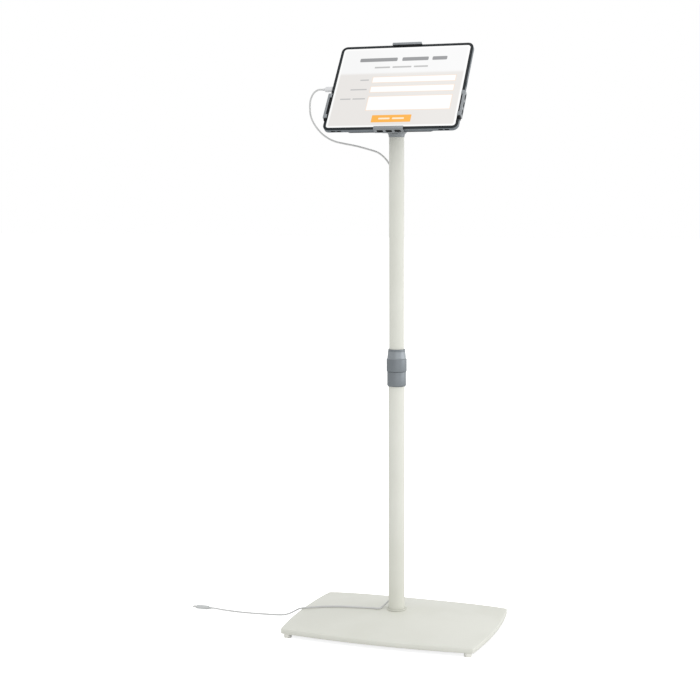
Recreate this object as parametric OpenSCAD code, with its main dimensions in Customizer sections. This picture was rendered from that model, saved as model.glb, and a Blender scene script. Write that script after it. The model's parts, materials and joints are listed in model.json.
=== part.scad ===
// Adjustable tablet floor stand: a crowned weighted base, a two-part telescopic pole with a twist lock,
// a tilting holder with four padded clips, a tablet and its charging cable.
// The origin is on the floor at the pole's axis, the screen faces -Y and +Z is up.

/* [Base] */
// Width of the base between its corners
base_w = 394; // [330:1:460]
// Depth of the base between its corners
base_d = 272; // [220:1:330]
// How far the left and right edges bow outward
bow_side = 10; // [4:0.5:18]
// How far the front and back edges bow outward
bow_front = 13; // [4:0.5:18]
// Radius of the base's corners
base_corner_r = 5; // [4:0.5:16]
// Height of the cover's outer wall
edge_h = 9.5; // [9:0.5:16]
// Rise of the cover from its edge to the pole
crown_h = 20; // [12:0.5:30]
// Wall of the cover
cover_t = 2; // [1.2:0.1:2.4]
// Thickness of the steel ballast plate
ballast_t = 6; // [3:0.5:6.5]
// Diameter of a foot
foot_d = 15; // [12:0.5:20]
// Height of a foot
foot_h = 8.5; // [7:0.5:14]
// Diameter of the screw through each foot
foot_screw_d = 4; // [3:0.5:5]

/* [Pole foot] */
// Diameter of the bolt that holds the pole
pole_bolt_d = 10; // [8:0.5:12]
// Length of the threaded plug in the lower tube
insert_h = 8; // [6:0.5:9]
// Outside diameter of the spacer under the cover
spacer_d = 36; // [26:0.5:40]
// Outside diameter of the trim ring round the pole
ring_d = 40; // [37:0.5:42]
// Height of the trim ring
ring_h = 3; // [2:0.5:6]

/* [Pole] */
// Outside diameter of the lower tube
lower_od = 32.4; // [32.2:0.1:33.2]
// Wall of the lower tube
lower_wall = 1; // [0.7:0.05:1.05]
// Length of the lower tube
lower_len = 502; // [440:1:540]
// Outside diameter of the upper tube
upper_od = 29.6; // [28:0.1:29.8]
// Wall of the upper tube
upper_wall = 1.5; // [1:0.1:2]
// Length of the upper tube that stands inside the lower one
overlap_len = 116; // [60:1:300]
// Height of the pole's top above the floor
pole_h = 982; // [960:1:1010]
// Height of the cable hole in the lower tube above the cover
low_hole_up = 14; // [13:0.5:17]
// Depth of the cable hole in the upper tube below its top
top_hole_down = 56; // [45:1:70]
// Diameter of the cable holes
cable_hole_d = 9; // [7.5:0.25:10]

/* [Collar] */
// Diameter of the fixed sleeve
sleeve_d = 37.6; // [36:0.1:38.5]
// Height of the part of the sleeve that shows
sleeve_h = 29.5; // [20:0.5:40]
// Diameter of the lock nut's grip band
nut_band_d = 40.2; // [39.4:0.1:44]
// Height of the grip band
nut_band_h = 25; // [22:0.5:32]
// Height of the nut's cone
nut_cone_h = 15; // [10:0.5:20]
// Height of the nut's top lip
nut_lip_h = 4; // [2:0.5:6]

/* [Neck] */
// Height of the tilt axis above the pole's top
neck_h = 37; // [35:0.5:45]
// Angle of the screen from upright
tilt = 34.8; // [15:0.2:60]
// Thickness of a yoke ear
ear_t = 5.5; // [3:0.5:7]
// Radius of a yoke ear
ear_r = 9; // [8:0.25:9.5]
// Width of the hinge barrel
barrel_w = 26; // [20:0.5:28]
// Diameter of the hinge bolt
hinge_bolt_d = 6; // [5:0.5:8]
// Thickness of a friction washer
washer_t = 1.4; // [0.8:0.1:2]

/* [Tablet] */
// Width of the screen
screen_w = 262; // [240:1:280]
// Height of the screen
screen_h = 196.5; // [180:0.5:210]
// Frame that shows round the screen
bezel = 5.75; // [4.5:0.25:7]
// Thickness of the tablet behind the glass
tablet_t = 8; // [7:0.25:11]
// Radius of the tablet's corners
tablet_r = 12; // [8:0.5:16]
// Wall of the tablet's shell
shell_t = 1.2; // [0.8:0.1:1.6]

/* [Holder] */
// Length of a clip
clip_l = 60; // [48:1:70]
// Wall of a clip
clip_t = 2; // [1.5:0.1:3]
// Reach of the bottom clip's lip over the tablet's frame
bottom_lip = 4; // [2:0.25:5]
// Reach of the top clip's lip over the tablet's frame
top_lip = 2; // [1:0.25:4]
// Reach of the side clips' tabs over the tablet's frame
side_tab = 4.5; // [3:0.25:5.5]
// Thickness of the rubber pads
pad_t = 1; // [0.6:0.1:1.5]
// Gap that the pad fills in front of the tablet's frame
pad_front = 2.7; // [2:0.1:3.4]
// Height of the side clips' middle above the screen's lower edge
side_clip_up = 51; // [50:1:60]
// Width of a clamp arm
arm_w = 18; // [14:1:22]
// Thickness of a clamp arm
arm_t = 3; // [2:0.25:4]
// Width of the plate behind the tablet
plate_w = 178; // [150:1:200]
// Height of the plate behind the tablet
plate_h = 124; // [110:1:140]
// Thickness of the plate behind the tablet
plate_t = 2.5; // [1.5:0.25:4]
// Width of the arm housing
housing_w = 84; // [70:1:100]
// Height of the arm housing
housing_h = 72; // [68:1:76]
// Thickness of the housing's cover
housing_cover_t = 2.5; // [2:0.25:4]

/* [Cable] */
// Diameter of the charging cable
cable_d = 3.5; // [3:0.1:3.8]
// Length of the plug's grip at the tablet
plug_l = 16; // [12:0.5:20]
// Length of the plug's grip on the floor
floor_plug_l = 27; // [20:0.5:32]

/* [Hidden] */

// Colours
off_white = "#dcdbd3";
collar_grey = "#7d8185";
clip_grey = "#8b8f93";
dark_frame = "#3d4247";
rubber_black = "#1c1d1e";
steel = "#a9acb0";
plug_white = "#e4e4e3";
cable_grey = "#c6c6c4";
screen_white = "#f1efeb";
board_green = "#2f6b45";

// Clearances
fit = 0.05;
slip = 0.3;
loose = 0.15;
past = 1;
round_fn = 96;

// Base
half_x = base_w / 2 + bow_side;
half_y = base_d / 2 + bow_front;
side_r = (base_d * base_d / 4 + bow_side * bow_side) / (2 * bow_side);
front_r = (base_w * base_w / 4 + bow_front * bow_front) / (2 * bow_front);
edge_z = foot_h + edge_h;
crown_z = edge_z + crown_h;
side_centre = base_w / 2 + bow_side - side_r;
front_centre = base_d / 2 + bow_front - front_r;
cover_hole_d = spacer_d + 2 * slip;
edge_round = 1;
edge_mid = 0.3 * edge_round;
ballast_gap = 1;
crown_steps = 7;
under_steps = 3;
side_steps = 6;
corner_steps = 4;
front_steps = 8;
foot_inset = 5;
foot_x = base_w / 2 - foot_d / 2 - foot_inset;
foot_y = base_d / 2 - foot_d / 2;
screw_head_ratio = 1.9;

// Pole foot
head_h = 5;
washer_h = 1.5;
bolt_room = 0.1;
bolt_head_ratio = 1.8;
bolt_washer_ratio = 2.4;
hex_ratio = 0.7;
hex_deep = 0.6;
bolt_hole_d = pole_bolt_d + 2 * bolt_room;
skirt_h = 0.1;

// Pole
lower_id = lower_od - 2 * lower_wall;
upper_id = upper_od - 2 * upper_wall;
lower_top = crown_z + lower_len;
upper_bottom = lower_top - overlap_len;
upper_len = pole_h - upper_bottom;
low_hole_z = crown_z + low_hole_up;
top_hole_z = pole_h - top_hole_down;
hole_turn = 135;
flange_over = 2.5;
flange_t = 1.1;
bush_h = 12;
bush_spigot = 18;
bush_bore = 12;

// Collar
groove_h = 0.5;
thread_wall = 1.2;
nut_wall = 1.8;
collet_h = 20;
collet_slot = 1.5;
collet_tip = 0.5;
collet_foot = 2;
thread_len = 17;
nut_cone_wall = 2.6;
nut_lip_step = 0.35;
nut_bevel = 0.4;
sleeve_bevel = 1.6;
sleeve_z = lower_top - sleeve_h - groove_h - thread_len;
nut_z = sleeve_z + sleeve_h + groove_h;
nut_cone_z = nut_z + nut_band_h;
nut_lip_z = nut_cone_z + nut_cone_h;
nut_top = nut_lip_z + nut_lip_h;
thread_r = lower_od / 2 + fit + thread_wall;
collet_low_r = lower_od / 2;
collet_in_r = upper_od / 2 + fit;
collet_top_r = collet_in_r + collet_tip;
nut_lip_r = upper_od / 2 + slip + nut_wall;

// Neck
hinge_z = pole_h + neck_h;
yoke_plug_h = 24;
yoke_floor = 10;
ear_in = barrel_w / 2 + washer_t + 2 * fit;
ear_out = ear_in + ear_t;
barrel_under = 0.5;
barrel_r = ear_r - barrel_under;
bolt_head_t = 4.5;
bolt_head_d = hinge_bolt_d * bolt_head_ratio;
yoke_wall = 3;
cap_over = 0.3;
cup_h = 6;
cup_step = 1.2;
flare_h = 12;
yoke_half = 12;

// Head frame: x to the right, y into the screen and z up it, from the middle of the glass's lower edge
front_lip = 0.5;
plate_y = tablet_t + fit;
arm_y = plate_y + plate_t + slip;
housing_y = plate_y + plate_t;
cover_y = arm_y + arm_t + slip;
holder_back = cover_y + housing_cover_t;
ear_gap = 1.5;
hinge_back = holder_back + ear_r + ear_gap;
hinge_up = 41.6;
tablet_w = screen_w + 2 * bezel;
tablet_h = screen_h + 2 * bezel;
screen_mid = screen_h / 2;
lip_y = -front_lip - pad_front - clip_t;
clip_flange = 17;
flange_w = 30;
flange_bend = 1.6;
arm_short = 0.5;
housing_up = side_clip_up - housing_h / 2;
arm_in = 10;
slot_l = 12.5;
slot_w = 7;
slot_r = 1.5;
slot_pitch = 18;
slot_y = 3;
tab_l = 9;
lip_short = 1.25;
pad_room = 0.2;
pad_inset = 0.5;
pad_tail = 4.5;
top_pad_over = 2;
bracket_t = 3;
web_ratio = 0.7;
bracket_low = hinge_up - ear_r;
bracket_screw_d = 3.4;
plate_r = 8;
housing_r = 6;
cover_screw_d = 3.4;
screw_inset = 6;
lock_screw_d = 4;
lock_head_d = 10;
lock_head_h = 5;
arm_half = arm_w / 2 + slip;
arm_apart = arm_w / 2 + 4;
top_arm_end = side_clip_up + arm_apart;
bracket_top = top_arm_end + 3;
bracket_screws_up = [top_arm_end - 11, top_arm_end - 3.2];
bottom_arm_end = side_clip_up - arm_apart;
housing_top = housing_up + housing_h;
bottom_screw_up = housing_up + screw_inset;
cover_screw_spots = [
    for (sx = [-1, 1], z = [bottom_screw_up, housing_top - screw_inset])
        [sx * (housing_w / 2 - screw_inset), z],
    [0, bottom_screw_up]
];
lock_spots = [
    [-housing_w / 3, side_clip_up],
    [housing_w / 3, side_clip_up],
    [0, (top_arm_end + housing_top) / 2]
];
side_reach = tablet_w / 2 - arm_in;
top_reach = screen_h + bezel - top_arm_end;
bottom_reach = bottom_arm_end + bezel;

// Tablet
screen_t = 2;
screen_r = tablet_r - bezel;
inside_edge = 4;
pill = 0.48;
button_proud = 1.1;
button_w = 2.6;
power_l = 12;
power_up = 102;
volume_l = 24;
volume_x = -96;
speaker_l = 9;
speaker_w = 3;
speaker_y = 4.7;
speaker_deep = 1;
speaker_spots = [103, 115];
battery_w = 0.62 * screen_w;
battery_h = 0.7 * screen_h;
battery_r = 3;
board_w = 0.11 * screen_w;
board_x = 0.405 * screen_w;
board_h = 0.8 * screen_h;
board_r = 2;

// Plugs
plug_w = 11;
plug_thick = 6;
plug_y = (tablet_t - front_lip) / 2;
relief_l = 7;
tip_w = 8.2;
tip_thick = 2.4;
tip_in = 6;
floor_plug_w = 12;
floor_plug_thick = 6.4;
floor_tip_l = 8;
plug_round = 0.38;
plug_gap = 0.1;
relief_r = cable_d / 2 + 0.4;
plug_end_x = -tablet_w / 2 - plug_gap - plug_l - relief_l;
tip_wall = 0.4;
tip_back = 1;

// Routes of the cable's two free stretches, from the inside of the pole outward
cable_join_top = top_hole_z - 30;
cable_join_low = 84;
upper_steps = [
    [0, 0, -18], [-1, 1, -11], [-3, 3, -5], [-6, 6, -1], [-9, 9, 0], [-13, 13, 0], [-17, 17, 0.5],
    [-20.5, 20, 3], [-24, 22, 8], [-30, 23, 15], [-37, 22, 22], [-47, 21, 28.5], [-64, 20, 34], [-90, 20, 41],
    [-115, 20, 46], [-138, 20, 51.5], [-158, 20, 62], [-172, 20, 75], [-182, 20, 89], [-188, 20, 103.5],
    [-189.3, 20, 118], [-188.3, 19, 130], [-184.5, 18, 140], [-178.5, 16, 147.5], [-171.5, 14, 151.5]
];
upper_route = concat([[0, 0, cable_join_top]], [for (p = upper_steps) p + [0, 0, top_hole_z]]);
lower_steps = [
    [0, 0, 18], [-1, 1, 11], [-3, 3, 5], [-6, 6, 1], [-9, 9, 0], [-12.5, 12.5, -0.4], [-16.5, 15.8, -1.4]
];
floor_run = [
    [-20.3, 16.3, 48.6], [-24, 14.2, 46.4], [-26.2, 9.4, 43.9], [-28.6, 3.2, 41.6], [-29.8, -3, 40.5],
    [-31.5, -9, 39.6], [-37, -13, 39.3], [-46, -12.5, 39.1], [-67, -11.5, 38], [-90, -10, 36.5],
    [-120, -6, 33.5], [-160, -3, 28.5], [-190, -2, 23.8], [-204, -1, 21], [-213, 1, 18], [-221, 3, 13.5],
    [-230, 4, 8], [-241, 2, 3.5], [-254, -2, 2], [-285, -7, 2], [-334, -11, 2], [-368, -9, 2],
    [-388, -8, 2.5], [-401, -7.5, 3.4], [-410, -7.5, 3.4]
];
lower_route = concat([[0, 0, cable_join_low]], [for (p = lower_steps) p + [0, 0, low_hole_z]], floor_run);
cable_sides = 8;
cable_side = [1, 1, 0.2];

// Points of the base outline
function unit(v) = v / norm(v);
function corner_centre(r) = let (
    c1 = [side_centre, 0],
    c2 = [0, front_centre],
    r1 = side_r - r,
    r2 = front_r - r,
    d = norm(c2 - c1),
    a = (r1 * r1 - r2 * r2 + d * d) / (2 * d),
    h = sqrt(r1 * r1 - a * a),
    e = unit(c2 - c1),
    n = [e[1], -e[0]],
    p = c1 + a * e + h * n,
    q = c1 + a * e - h * n
) p[0] > 0 && p[1] > 0 ? p : q;

// Points of the base outline, drawn in by an inset, anticlockwise from the middle of the right edge
function turn(a) = [cos(a), sin(a)];
function outline_quarter(inset) = let (
    c = corner_centre(base_corner_r),
    a1 = atan2(c[1], c[0] - side_centre),
    a2 = atan2(c[1] - front_centre, c[0])
) concat(
    [for (i = [0:side_steps]) [side_centre, 0] + (side_r - inset) * turn(a1 * i / side_steps)],
    [for (i = [1:corner_steps]) c + (base_corner_r - inset) * turn(a1 + (a2 - a1) * i / corner_steps)],
    [for (i = [1:front_steps]) [0, front_centre] + (front_r - inset) * turn(a2 + (90 - a2) * i / front_steps)]
);
function outline(inset) = let (q = outline_quarter(inset), n = len(q) - 1) concat(
    [for (i = [0:n - 1]) q[i]],
    [for (i = [0:n - 1]) [-q[n - i][0], q[n - i][1]]],
    [for (i = [0:n - 1]) -q[i]],
    [for (i = [0:n - 1]) [q[n - i][0], -q[n - i][1]]]
);

// Height of the cover's crowned surface
function crown_at(p) = edge_z + crown_h * (1 - pow(p[0] / half_x, 2)) * (1 - pow(p[1] / half_y, 2));

// Loops of the surface between the pole's opening and an outline, lowered by a drop
function crown_loops(edge, n, drop) = [for (k = [0:n]) [for (p = edge)
    let (h = unit(p) * cover_hole_d / 2, q = h + (p - h) * k / n) [q[0], q[1], crown_at(q) - drop]]];
function level_loop(edge, z) = [for (p = edge) [p[0], p[1], z]];

// Tube of a cable along a route
function steps(p) = [for (i = [0:len(p) - 1]) unit(p[min(i + 1, len(p) - 1)] - p[max(i - 1, 0)])];
function carry(t, u, i = 0) = i == len(t) ? [] :
    let (v = unit(u - (u * t[i]) * t[i])) concat([v], carry(t, v, i + 1));

module cable_tube(route) {
    k = cable_sides;
    t = steps(route);
    u = carry(t, unit(cable_side));
    r = cable_d / 2;
    last = len(route) - 1;
    points = [for (i = [0:last], s = [0:k - 1])
        route[i] + r * (cos(360 * s / k) * u[i] + sin(360 * s / k) * cross(t[i], u[i]))];
    sides = [for (i = [0:last - 1], s = [0:k - 1]) let (a = i * k + s, b = i * k + (s + 1) % k) each [
        [a, a + k, b + k],
        [a, b + k, b]
    ]];
    ends = [[for (s = [0:k - 1]) s], [for (s = [0:k - 1]) last * k + k - 1 - s]];
    polyhedron(points, concat(sides, ends));
}

// Rectangle with round corners, about its middle
module soft_rect(w, h, r) {
    square([w - 2 * r, h], center = true);
    square([w, h - 2 * r], center = true);
    for (sx = [-1, 1], sy = [-1, 1]) {
        translate([sx * (w / 2 - r), sy * (h / 2 - r)]) circle(r, $fn = round_fn);
    }
}

// Frame of the tilting head
function at_head(p) = let (y = p[1] - hinge_back, z = p[2] - hinge_up)
    [p[0], y * cos(tilt) + z * sin(tilt), hinge_z - y * sin(tilt) + z * cos(tilt)];

module in_head() {
    translate([0, 0, hinge_z]) rotate([-tilt, 0, 0]) translate([0, -hinge_back, -hinge_up]) children();
}

// Plate across the head's depth, from y0 to y1
module slab(y0, y1) {
    translate([0, y1, 0]) rotate([90, 0, 0]) linear_extrude(y1 - y0) children();
}

// Round bar or hole along the head's depth
module rod(x, z, r, y0, y1, fn = round_fn) {
    translate([x, y0, z]) rotate([-90, 0, 0]) cylinder(r = r, h = y1 - y0, $fn = fn);
}

// Frames of the tablet's four edges: x along the edge, z outward from it
module on_edge(side) {
    if (side == "top") translate([0, 0, screen_h + bezel]) children();
    if (side == "bottom") translate([0, 0, -bezel]) rotate([0, 180, 0]) children();
    if (side == "right") translate([tablet_w / 2, 0, side_clip_up]) rotate([0, 90, 0]) children();
    if (side == "left") mirror([1, 0, 0]) on_edge("right") children();
}

module box(x0, x1, y0, y1, z0, z1) {
    translate([x0, y0, z0]) cube([x1 - x0, y1 - y0, z1 - z0]);
}

// Base

module base_cover() {
    under = crown_loops(outline(cover_t), under_steps, cover_t);
    loops = concat(
        crown_loops(outline(edge_round), crown_steps, 0),
        [level_loop(outline(edge_mid), edge_z - edge_mid)],
        [level_loop(outline(0), edge_z - edge_round), level_loop(outline(0), foot_h)],
        [level_loop(outline(cover_t), foot_h)],
        [for (i = [0:under_steps]) under[under_steps - i]]
    );
    m = len(loops);
    n = len(loops[0]);
    faces = [for (i = [0:m - 1], k = [0:n - 1])
        let (a = i * n + k, b = i * n + (k + 1) % n, j = ((i + 1) % m) * n)
        each [[a, b, j + (k + 1) % n], [a, j + (k + 1) % n, j + k]]];
    color(off_white) polyhedron([for (loop = loops) each loop], faces);
}

module ballast_plate() {
    color(steel) difference() {
        translate([0, 0, foot_h]) linear_extrude(ballast_t) polygon(outline(cover_t + ballast_gap));
        cylinder(d = bolt_hole_d, h = crown_z, $fn = round_fn);
        at_feet() cylinder(d = foot_screw_d + 2 * loose, h = crown_z, $fn = round_fn);
    }
}

module at_feet() {
    for (sx = [-1, 1], sy = [-1, 1]) translate([sx * foot_x, sy * foot_y, 0]) children();
}

module base_feet() {
    color(off_white) at_feet() difference() {
        cylinder(d = foot_d, h = foot_h, $fn = round_fn);
        translate([0, 0, -past]) {
            cylinder(d = foot_screw_d * screw_head_ratio + 2 * slip, h = foot_h / 2 + past, $fn = round_fn);
            cylinder(d = foot_screw_d + 2 * loose, h = foot_h + 2 * past, $fn = round_fn);
        }
    }
}

module foot_screws() {
    head = foot_screw_d / 2;
    color(steel) at_feet() {
        translate([0, 0, foot_h / 2 - head]) {
            cylinder(d = foot_screw_d * screw_head_ratio, h = head, $fn = round_fn);
        }
        translate([0, 0, foot_h / 2 - past / 2]) {
            cylinder(d = foot_screw_d, h = foot_h / 2 + past / 2 + ballast_t - past, $fn = round_fn);
        }
    }
}

// Pole foot

module pole_spacer() {
    color(steel) translate([0, 0, foot_h + ballast_t]) difference() {
        cylinder(d = spacer_d, h = crown_z - foot_h - ballast_t, $fn = round_fn);
        translate([0, 0, -past]) cylinder(d = bolt_hole_d, h = crown_z, $fn = round_fn);
    }
}

module pole_bolt() {
    under = foot_h - washer_h - head_h;
    color(steel) difference() {
        union() {
            translate([0, 0, under]) cylinder(d = pole_bolt_d * bolt_head_ratio, h = head_h, $fn = round_fn);
            translate([0, 0, under + head_h / 2]) {
                cylinder(d = pole_bolt_d, h = crown_z + insert_h - past - under - head_h / 2, $fn = round_fn);
            }
        }
        translate([0, 0, under - past]) {
            cylinder(d = pole_bolt_d * hex_ratio, h = head_h * hex_deep + past, $fn = 6);
        }
    }
}

module bolt_washer() {
    color(steel) translate([0, 0, foot_h - washer_h]) difference() {
        cylinder(d = pole_bolt_d * bolt_washer_ratio, h = washer_h, $fn = round_fn);
        translate([0, 0, -past]) cylinder(d = bolt_hole_d, h = washer_h + 2 * past, $fn = round_fn);
    }
}

module pole_insert() {
    color(steel) translate([0, 0, crown_z]) difference() {
        cylinder(d = lower_id - 2 * fit, h = insert_h, $fn = round_fn);
        translate([0, 0, -past]) cylinder(d = bolt_hole_d, h = insert_h + 2 * past, $fn = round_fn);
    }
}

module pole_ring() {
    inner = lower_od / 2 + fit;
    bevel = ring_h / 2;
    skirt = spacer_d / 2 + slip;
    color(off_white) translate([0, 0, crown_z]) rotate_extrude($fn = round_fn) polygon([
        [inner, 0], [skirt, 0], [skirt, -skirt_h], [ring_d / 2, -skirt_h], [ring_d / 2, ring_h - bevel],
        [ring_d / 2 - bevel, ring_h], [inner, ring_h]
    ]);
}

// Pole

module through_hole(z, d) {
    translate([0, 0, z]) rotate([0, 0, hole_turn]) rotate([0, 90, 0]) {
        cylinder(d = d, h = lower_od, $fn = round_fn);
    }
}

module tube(z, d, wall, h) {
    translate([0, 0, z]) difference() {
        cylinder(d = d, h = h, $fn = round_fn);
        translate([0, 0, -past]) cylinder(d = d - 2 * wall, h = h + 2 * past, $fn = round_fn);
    }
}

// Rubber ring in a cable hole of a tube
module grommet(z, od, wall) {
    reach = od + 2 * flange_t;
    color(rubber_black) difference() {
        union() {
            intersection() {
                tube(z - cable_hole_d, reach, flange_t, 2 * cable_hole_d);
                through_hole(z, cable_hole_d + 2 * flange_over);
            }
            intersection() {
                tube(z - cable_hole_d, reach, flange_t + wall, 2 * cable_hole_d);
                through_hole(z, cable_hole_d - 2 * fit);
            }
        }
        through_hole(z, cable_d + 2 * slip);
    }
}

module lower_tube() {
    color(off_white) difference() {
        tube(crown_z, lower_od, lower_wall, lower_len);
        through_hole(low_hole_z, cable_hole_d);
    }
}

module lower_grommet() {
    grommet(low_hole_z, lower_od, lower_wall);
}

module upper_tube() {
    color(off_white) difference() {
        tube(upper_bottom, upper_od, upper_wall, upper_len);
        through_hole(top_hole_z, cable_hole_d);
    }
}

module upper_grommet() {
    grommet(top_hole_z, upper_od, upper_wall);
}

module guide_bush() {
    color(rubber_black) translate([0, 0, upper_bottom]) difference() {
        union() {
            translate([0, 0, -bush_h]) cylinder(d = lower_id - 2 * fit, h = bush_h - fit, $fn = round_fn);
            translate([0, 0, -past]) cylinder(d = upper_id - 2 * fit, h = bush_spigot + past, $fn = round_fn);
        }
        translate([0, 0, -bush_h - past]) {
            cylinder(d = bush_bore, h = bush_h + bush_spigot + 2 * past, $fn = round_fn);
        }
    }
}

// Collar

module collar_sleeve() {
    inner = lower_od / 2 + fit;
    bevel = sleeve_bevel;
    color(collar_grey) rotate_extrude($fn = round_fn) polygon([
        [inner, sleeve_z], [sleeve_d / 2 - bevel, sleeve_z], [sleeve_d / 2, sleeve_z + bevel],
        [sleeve_d / 2, sleeve_z + sleeve_h], [thread_r, sleeve_z + sleeve_h], [thread_r, lower_top - past],
        [inner, lower_top - past]
    ]);
}

module collet() {
    color(rubber_black) difference() {
        rotate_extrude($fn = round_fn) polygon([
            [collet_in_r, lower_top], [collet_low_r, lower_top], [collet_low_r, lower_top + collet_foot],
            [collet_top_r, lower_top + collet_h], [collet_in_r, lower_top + collet_h]
        ]);
        box(0, lower_od, -collet_slot / 2, collet_slot / 2, lower_top - past, lower_top + collet_h + past);
    }
}

module lock_nut() {
    band = nut_band_d / 2;
    bore = thread_r + slip;
    cone_low = collet_low_r + nut_cone_wall;
    cone_top = nut_lip_r + nut_lip_step;
    bevel = nut_bevel;
    step_z = lower_top + collet_foot + slip;
    collet_end = lower_top + collet_h + slip;
    color(collar_grey) rotate_extrude($fn = round_fn) polygon([
        [bore, nut_z], [band - bevel, nut_z], [band, nut_z + bevel], [band, nut_cone_z - bevel],
        [band - bevel, nut_cone_z], [cone_low, nut_cone_z], [cone_top, nut_lip_z], [nut_lip_r, nut_lip_z],
        [nut_lip_r, nut_top], [nut_lip_r - nut_wall, nut_top], [nut_lip_r - nut_wall, collet_end],
        [collet_top_r + slip, collet_end], [collet_low_r + slip, step_z], [bore, step_z]
    ]);
}

// Neck

module across(r, x0, x1, fn = round_fn) {
    translate([x0, 0, hinge_z]) rotate([0, 90, 0]) cylinder(r = r, h = x1 - x0, $fn = fn);
}

module tilt_yoke() {
    cap_r = upper_od / 2 + cap_over;
    step_r = cap_r + cup_step;
    step_z = pole_h + cup_h;
    flare_z = pole_h + flare_h;
    flare_r = norm([ear_out, ear_r]);
    ear_top = hinge_z + 2 * ear_r;
    gap_z = pole_h + yoke_floor + ear_in;
    color(clip_grey) difference() {
        union() {
            translate([0, 0, pole_h - yoke_plug_h]) {
                cylinder(d = upper_id - 2 * fit, h = yoke_plug_h + past, $fn = round_fn);
            }
            intersection() {
                rotate_extrude($fn = round_fn) polygon([
                    [0, pole_h], [cap_r, pole_h], [step_r, step_z], [flare_r, flare_z], [flare_r, ear_top],
                    [0, ear_top]
                ]);
                rotate([90, 0, 0]) linear_extrude(4 * flare_r, center = true) difference() {
                    translate([-ear_out, pole_h - past]) square([2 * ear_out, ear_top - pole_h]);
                    translate([0, gap_z]) circle(ear_in, $fn = round_fn);
                    translate([-ear_in, gap_z]) square([2 * ear_in, ear_top]);
                }
                rotate([90, 0, 90]) linear_extrude(4 * ear_out, center = true) {
                    polygon([
                        [-step_r, pole_h - past], [step_r, pole_h - past], [step_r, step_z],
                        [yoke_half, flare_z], [ear_r, hinge_z], [-ear_r, hinge_z],
                        [-yoke_half, flare_z], [-step_r, step_z]
                    ]);
                    translate([0, hinge_z]) circle(ear_r, $fn = round_fn);
                }
            }
        }
        across(hinge_bolt_d / 2 + fit, -2 * ear_out, 2 * ear_out);
        translate([0, 0, pole_h - yoke_plug_h - past]) {
            cylinder(d = upper_id - 2 * yoke_wall, h = yoke_plug_h, $fn = round_fn);
        }
    }
}

module hinge_bolt() {
    color(steel) difference() {
        union() {
            across(hinge_bolt_d / 2, -ear_out - bolt_head_t, ear_out + past);
            across(bolt_head_d / 2, ear_out, ear_out + bolt_head_t);
        }
        across(hinge_bolt_d * hex_ratio / 2, ear_out + bolt_head_t / 2, ear_out + bolt_head_t + past, 6);
    }
}

module hinge_nut() {
    color(steel) difference() {
        across(bolt_head_d / 2, -ear_out - bolt_head_t, -ear_out, 6);
        across(hinge_bolt_d / 2 + fit, -2 * ear_out, 0);
    }
}

module friction_washers() {
    color(rubber_black) for (x = [-barrel_w / 2 - washer_t, barrel_w / 2]) difference() {
        across(barrel_r - barrel_under, x, x + washer_t);
        across(hinge_bolt_d / 2 + 2 * fit, x - past, x + washer_t + past);
    }
}

module hinge_bracket() {
    half = barrel_w / 2;
    web = barrel_r * web_ratio;
    color(dark_frame) in_head() difference() {
        translate([-half, 0, 0]) rotate([90, 0, 90]) linear_extrude(barrel_w) difference() {
            union() {
                translate([hinge_back, hinge_up]) circle(barrel_r, $fn = round_fn);
                translate([holder_back, hinge_up - web]) square([hinge_back - holder_back, 2 * web]);
                translate([holder_back, bracket_low]) square([bracket_t, bracket_top - bracket_low]);
            }
            translate([hinge_back, hinge_up]) circle(hinge_bolt_d / 2 + fit, $fn = round_fn);
        }
        for (z = bracket_screws_up) {
            rod(0, z, bracket_screw_d / 2 + loose, holder_back - past, holder_back + bracket_t + past);
        }
    }
}

// Screw along the head's depth, with its head behind y1
module holder_screw(x, z, d, y0, y1) {
    rod(x, z, d / 2, y0, y1 + d / 4);
    rod(x, z, d * screw_head_ratio / 2, y1, y1 + d / 2);
}

module bracket_screws() {
    color(steel) in_head() for (z = bracket_screws_up) {
        holder_screw(0, z, bracket_screw_d, housing_y, holder_back + bracket_t);
    }
}

// Holder

module cover_screw_holes() {
    for (p = cover_screw_spots) {
        rod(p[0], p[1], cover_screw_d / 2 + loose, plate_y - past, holder_back + past);
    }
}

module back_plate() {
    notch = flange_w / 2 + past;
    color(dark_frame) in_head() difference() {
        slab(plate_y, housing_y) translate([0, plate_h / 2 - bezel]) soft_rect(plate_w, plate_h, plate_r);
        box(-notch, notch, plate_y - past, housing_y + past, -bezel - past, clip_flange - bezel + past);
        cover_screw_holes();
    }
}

module arm_housing() {
    side_end = arm_in - slip;
    far = housing_w / 2 + past;
    low = side_clip_up - arm_half;
    color(dark_frame) in_head() difference() {
        slab(housing_y, cover_y) translate([0, side_clip_up]) soft_rect(housing_w, housing_h, housing_r);
        for (s = [0, 1]) mirror([s, 0, 0]) {
            box(side_end, far, housing_y - past, cover_y + past, low, low + 2 * arm_half);
        }
        box(-arm_half, arm_half, housing_y - past, cover_y + past, top_arm_end - slip, housing_top + past);
        box(-arm_half, arm_half, housing_y - past, cover_y + past, housing_up - past, bottom_arm_end + slip);
        cover_screw_holes();
        for (z = bracket_screws_up) rod(0, z, bracket_screw_d / 2 + loose, plate_y, holder_back);
    }
}

module housing_cover() {
    color(dark_frame) in_head() difference() {
        slab(cover_y, holder_back) translate([0, side_clip_up]) soft_rect(housing_w, housing_h, housing_r);
        cover_screw_holes();
        for (z = bracket_screws_up) rod(0, z, bracket_screw_d / 2 + loose, plate_y, holder_back + past);
        for (p = lock_spots) rod(p[0], p[1], lock_screw_d / 2 + loose, plate_y, holder_back + past);
    }
}

module cover_screws() {
    color(steel) in_head() for (p = cover_screw_spots) {
        holder_screw(p[0], p[1], cover_screw_d, plate_y + slip, holder_back);
    }
}

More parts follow.
